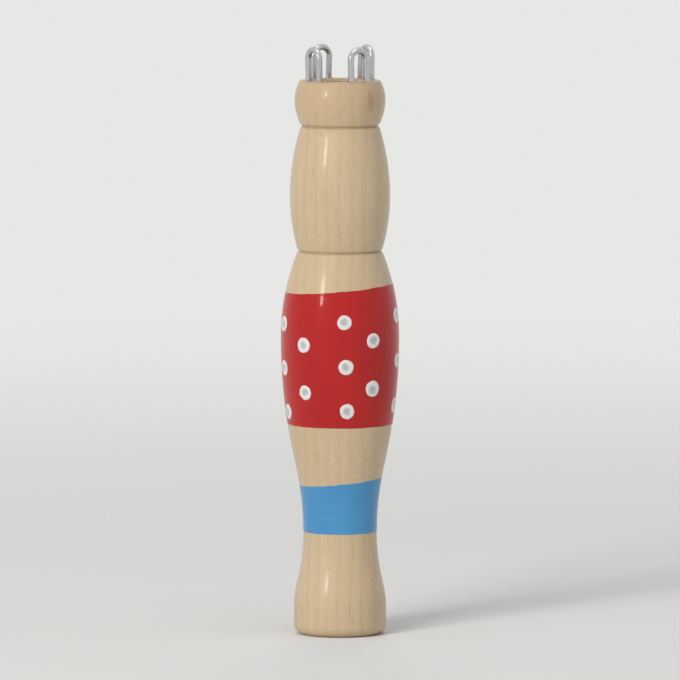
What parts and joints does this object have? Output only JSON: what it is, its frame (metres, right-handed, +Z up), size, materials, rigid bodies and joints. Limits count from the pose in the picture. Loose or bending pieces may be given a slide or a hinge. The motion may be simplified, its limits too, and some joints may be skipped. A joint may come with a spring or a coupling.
{
  "type": "i-cord maker",
  "caption": "Turned wooden knitting doll with wire staples round its bore, for knitting i-cord by hand; painted red and blue bands with white dots.",
  "frame": {"origin": "centre of the base that the doll stands on, on the axis of the bore", "axes": "+Z up along the bore towards the staples; -Y is the front, and the staples stand at -Y, +X, +Y and -X"},
  "size_m": [0.0242, 0.0244, 0.119],
  "materials": {
    "wood": "turned pale hardwood under a thin clear lacquer",
    "steel_wire": "bright drawn steel wire",
    "red_enamel": "brushed red enamel, glossy",
    "blue_enamel": "brushed blue enamel, satin gloss",
    "white_enamel": "white enamel dabs with raised rims"
  },
  "bodies": {
    "root": {"turned_body": "wood", "staple_front": "steel_wire", "staple_right": "steel_wire", "staple_back": "steel_wire", "staple_left": "steel_wire", "red_paint_coat": "red_enamel", "blue_paint_coat": "blue_enamel", "white_dot_paint": "white_enamel"}
  },
  "joints": []
}
